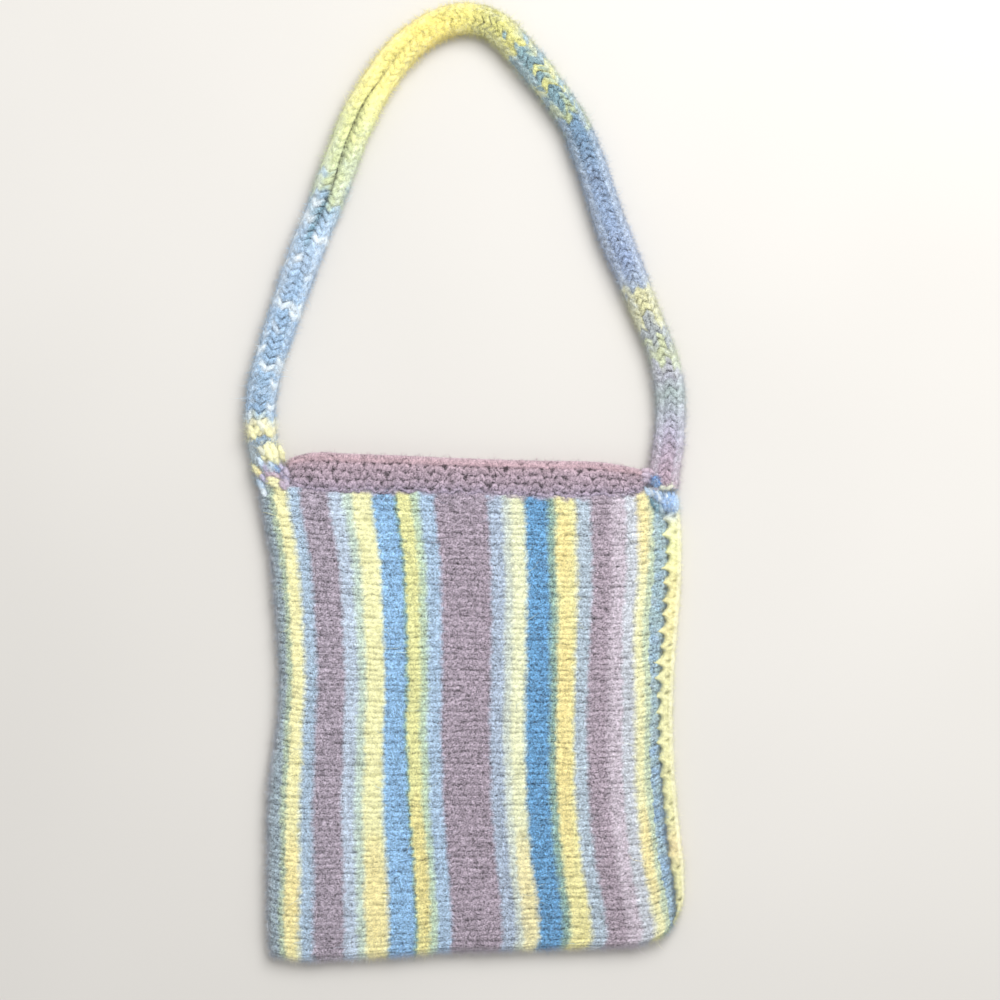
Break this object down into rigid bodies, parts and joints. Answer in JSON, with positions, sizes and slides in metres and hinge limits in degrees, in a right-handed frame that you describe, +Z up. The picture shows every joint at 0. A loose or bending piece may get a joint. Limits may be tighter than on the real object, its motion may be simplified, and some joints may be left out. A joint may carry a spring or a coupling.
{
  "type": "knitted and crocheted shoulder bag",
  "caption": "Empty felted wool shoulder bag lying flat: striped sideways knit pouch with a crocheted mouth band, a crocheted side seam and a knitted tube strap.",
  "frame": {"origin": "middle of the whole bag's plan, on the surface that it lies on", "axes": "+X across the bag from the fold to the side seam, +Y from the hem to the top of the strap, +Z up out of the surface"},
  "size_m": [0.2888, 0.6237, 0.0166],
  "materials": {
    "striped_knit": "lightly felted wool stocking stitch in soft vertical stripes of yellow, blue and mauve",
    "mauve_crochet": "felted wool single crochet, mauve, pinker along the rim",
    "yellow_yarn": "thick wool yarn, pale yellow, blue at the head",
    "pastel_cord": "knitted wool tube that changes from blue to yellow to periwinkle to lavender along its length"
  },
  "bodies": {
    "root": {"body": "striped_knit", "mouth_band": "mauve_crochet", "side_seam": "yellow_yarn", "strap": "pastel_cord"}
  },
  "joints": []
}
